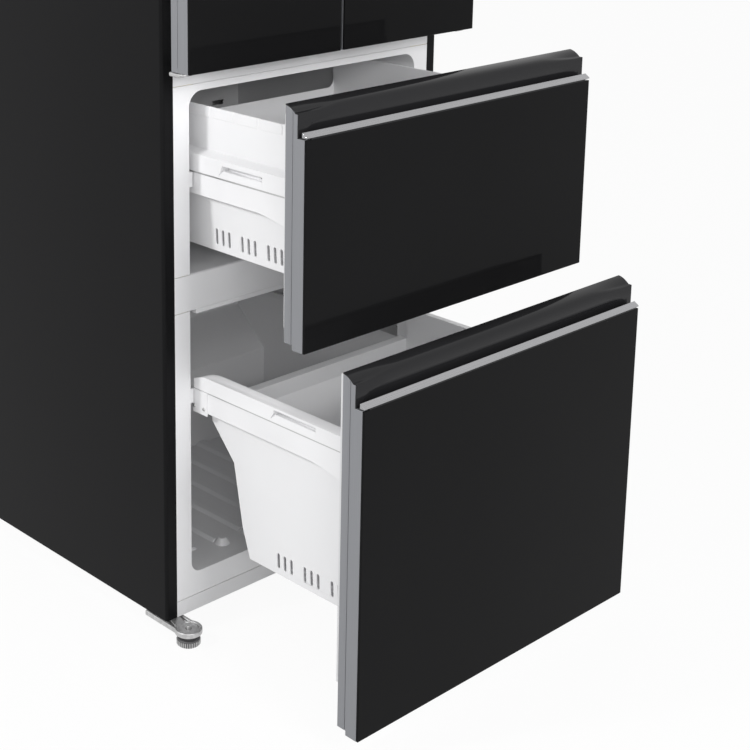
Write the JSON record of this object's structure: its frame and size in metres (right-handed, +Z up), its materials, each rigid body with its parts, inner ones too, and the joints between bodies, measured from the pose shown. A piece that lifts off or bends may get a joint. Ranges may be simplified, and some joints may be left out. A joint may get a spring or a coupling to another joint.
{
  "type": "american fridge freezer",
  "caption": "Tall free-standing fridge freezer with side-by-side doors over full-width freezer drawers that stand open; black glass fronts, silver trims, white baskets on rails.",
  "frame": {"origin": "centre of the bounding box at floor level, with the drawers open as in the picture", "axes": "+Z up, +X to the right of a person facing the doors, +Y from the fronts to the back"},
  "size_m": [0.7, 1.0748, 1.9],
  "materials": {
    "cabinet_black": "satin",
    "frame_white": "satin",
    "liner_white": "satin",
    "divider_grey": "satin",
    "front_white": "satin",
    "basket_white": "satin",
    "black_glass": "gloss",
    "trim_silver": "satin",
    "strip_aluminium": "brushed",
    "grip_black": "satin",
    "gasket_white": "matt",
    "rail_grey": "satin",
    "rail_white": "satin",
    "zinc": "bright",
    "hinge_silver": "satin",
    "cover_black": "matt",
    "foot_grey": "matt",
    "roller_grey": "matt",
    "foam": "matt",
    "shelf_glass": "gloss",
    "crisper_clear": "gloss",
    "bin_clear": "gloss",
    "compressor_black": "gloss",
    "coil_aluminium": "matt",
    "zinc_sheet": "matt",
    "fan_black": "matt",
    "box_grey": "matt"
  },
  "bodies": {
    "cabinet": {"side_panels": "cabinet_black", "top_panel": "cabinet_black", "rear_panel": "zinc_sheet", "base_pan": "divider_grey", "insulation_foam": "foam", "fridge_liner": "frame_white", "upper_freezer_liner": "liner_white", "lower_freezer_liner": "liner_white", "divider_beam": "divider_grey", "middle_beam": "divider_grey", "top_hinges": "zinc", "middle_hinges": "hinge_silver", "hinge_covers": "cover_black", "foot_brackets": "zinc", "compressor": "compressor_black", "condenser": "coil_aluminium", "drip_tray": "box_grey", "machine_cover": "zinc_sheet", "control_box": "box_grey", "evaporator": "coil_aluminium", "evaporator_cover": "liner_white", "fridge_shelves": "shelf_glass", "air_duct": "liner_white", "cabinet_rails": "rail_white"},
    "levelling_foot_left": {"levelling_foot_left": "foot_grey"},
    "levelling_foot_right": {"levelling_foot_right": "foot_grey"},
    "rear_rollers": {"rear_rollers": "roller_grey"},
    "condenser_fan": {"condenser_fan": "fan_black"},
    "evaporator_fan": {"evaporator_fan": "fan_black"},
    "left_crisper": {"left_crisper": "crisper_clear"},
    "right_crisper": {"right_crisper": "crisper_clear"},
    "upper_middle_rails": {"upper_middle_rails": "rail_grey"},
    "lower_middle_rails": {"lower_middle_rails": "rail_grey"},
    "mullion_flap": {"mullion_flap": "cover_black"},
    "left_door": {"left_door_core": "front_white", "left_door_glass": "black_glass", "left_door_frame": "trim_silver", "left_door_gasket": "gasket_white", "left_door_bins": "bin_clear"},
    "right_door": {"right_door_core": "front_white", "right_door_glass": "black_glass", "right_door_frame": "trim_silver", "right_door_gasket": "gasket_white", "right_door_bins": "bin_clear"},
    "upper_drawer": {"upper_drawer_core": "front_white", "upper_drawer_glass": "black_glass", "upper_drawer_frame": "trim_silver", "upper_drawer_grip": "grip_black", "upper_drawer_strip": "strip_aluminium", "upper_drawer_gasket": "gasket_white", "upper_drawer_rails": "rail_white", "upper_basket": "basket_white"},
    "lower_drawer": {"lower_drawer_core": "front_white", "lower_drawer_glass": "black_glass", "lower_drawer_frame": "trim_silver", "lower_drawer_grip": "grip_black", "lower_drawer_strip": "strip_aluminium", "lower_drawer_gasket": "gasket_white", "lower_drawer_rails": "rail_white", "lower_basket": "basket_white"}
  },
  "joints": [
    {"name": "left_door_hinge", "type": "hinge", "parent": "cabinet", "child": "left_door", "pos_m": [-0.336, -0.1094, 1.045], "axis": [0, 0, -1], "range_deg": [0, 115]},
    {"name": "right_door_hinge", "type": "hinge", "parent": "cabinet", "child": "right_door", "pos_m": [0.336, -0.1094, 1.045], "axis": [0, 0, 1], "range_deg": [0, 115]},
    {"name": "mullion_flap_hinge", "type": "hinge", "parent": "left_door", "child": "mullion_flap", "pos_m": [-0.03, -0.0456, 1.095], "axis": [0, 0, -1], "range_deg": [0, 90]},
    {"name": "upper_drawer_slide", "type": "slide", "parent": "cabinet", "child": "upper_drawer", "axis": [0, -1, 0], "range_m": [-0.27, 0.13]},
    {"name": "lower_drawer_slide", "type": "slide", "parent": "cabinet", "child": "lower_drawer", "axis": [0, -1, 0], "range_m": [-0.4, 0]},
    {"name": "upper_middle_rail_slide", "type": "slide", "parent": "cabinet", "child": "upper_middle_rails", "axis": [0, -1, 0], "range_m": [-0.135, 0.065]},
    {"name": "lower_middle_rail_slide", "type": "slide", "parent": "cabinet", "child": "lower_middle_rails", "axis": [0, -1, 0], "range_m": [-0.2, 0]},
    {"name": "left_crisper_slide", "type": "slide", "parent": "cabinet", "child": "left_crisper", "axis": [0, -1, 0], "range_m": [0, 0.06]},
    {"name": "right_crisper_slide", "type": "slide", "parent": "cabinet", "child": "right_crisper", "axis": [0, -1, 0], "range_m": [0, 0.06]},
    {"name": "levelling_foot_left_screw", "type": "hinge", "parent": "cabinet", "child": "levelling_foot_left", "pos_m": [-0.32, -0.0906, 0], "axis": [0, 0, 1], "continuous": true},
    {"name": "levelling_foot_right_screw", "type": "hinge", "parent": "cabinet", "child": "levelling_foot_right", "pos_m": [0.32, -0.0906, 0], "axis": [0, 0, 1], "continuous": true},
    {"name": "rear_roller_axle", "type": "hinge", "parent": "cabinet", "child": "rear_rollers", "pos_m": [0, 0.4904, 0.016], "axis": [1, 0, 0], "continuous": true},
    {"name": "condenser_fan_axle", "type": "hinge", "parent": "cabinet", "child": "condenser_fan", "pos_m": [0.06, 0.47305, 0.1225], "axis": [1, 0, 0], "continuous": true},
    {"name": "evaporator_fan_axle", "type": "hinge", "parent": "cabinet", "child": "evaporator_fan", "pos_m": [0, 0.4524, 0.91], "axis": [0, 1, 0], "continuous": true}
  ],
  "couplings": [
    {"joint": "upper_middle_rail_slide", "follows": "upper_drawer_slide", "ratio": 0.5},
    {"joint": "lower_middle_rail_slide", "follows": "lower_drawer_slide", "ratio": 0.5}
  ]
}
